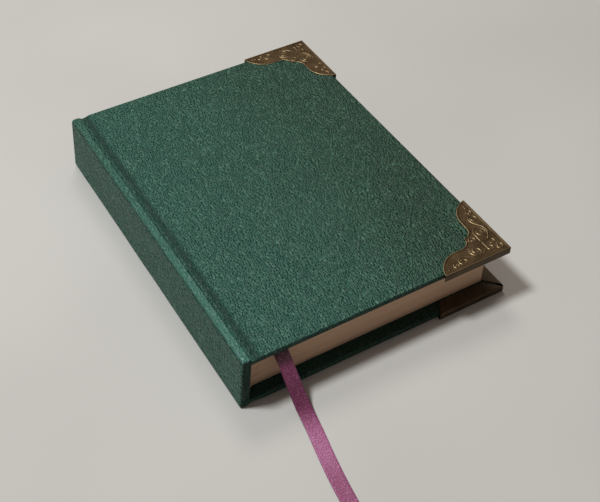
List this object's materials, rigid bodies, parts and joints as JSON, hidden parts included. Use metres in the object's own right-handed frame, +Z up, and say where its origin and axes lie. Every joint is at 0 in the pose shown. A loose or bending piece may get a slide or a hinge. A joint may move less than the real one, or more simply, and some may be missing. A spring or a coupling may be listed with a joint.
{
  "type": "hardcover notebook",
  "caption": "Hardcover notebook in pebbled green leather with ornate metal corner guards, squared spine, blank pages and a plum ribbon marker.",
  "frame": {"origin": "centre of the closed notebook's footprint, on the surface it lies on", "axes": "+X from the spine to the fore-edge, +Y from the tail to the head, +Z up out of the front cover"},
  "size_m": [0.1634, 0.3009, 0.0344],
  "materials": {
    "green_leather": "satin",
    "card": "matte",
    "paper": "matte",
    "antique_brass": "satin",
    "ribbon_satin": "satin",
    "headband_silk": "satin",
    "lining_cloth": "matte"
  },
  "bodies": {
    "book_block": {"text_block": "paper", "front_flyleaf": "paper", "back_flyleaf": "paper", "spine_lining": "lining_cloth", "headband_head": "headband_silk", "headband_tail": "headband_silk", "spine_board": "card", "spine_leather": "green_leather", "ribbon_pressed": "ribbon_satin", "ribbon_loose": "ribbon_satin"},
    "front_cover": {"front_board": "card", "front_leather": "green_leather", "front_pastedown": "paper", "front_guard_tail": "antique_brass", "front_guard_head": "antique_brass"},
    "back_cover": {"back_board": "card", "back_leather": "green_leather", "back_pastedown": "paper", "back_guard_tail": "antique_brass", "back_guard_head": "antique_brass"}
  },
  "joints": [
    {"name": "front_cover_hinge", "type": "hinge", "parent": "book_block", "child": "front_cover", "pos_m": [-0.07215, 0, 0.0345], "axis": [0, -1, 0], "range_deg": [0, 180]},
    {"name": "back_cover_hinge", "type": "hinge", "parent": "book_block", "child": "back_cover", "pos_m": [-0.07346, 0, -0.0001], "axis": [0, 1, 0], "range_deg": [0, 180]}
  ]
}
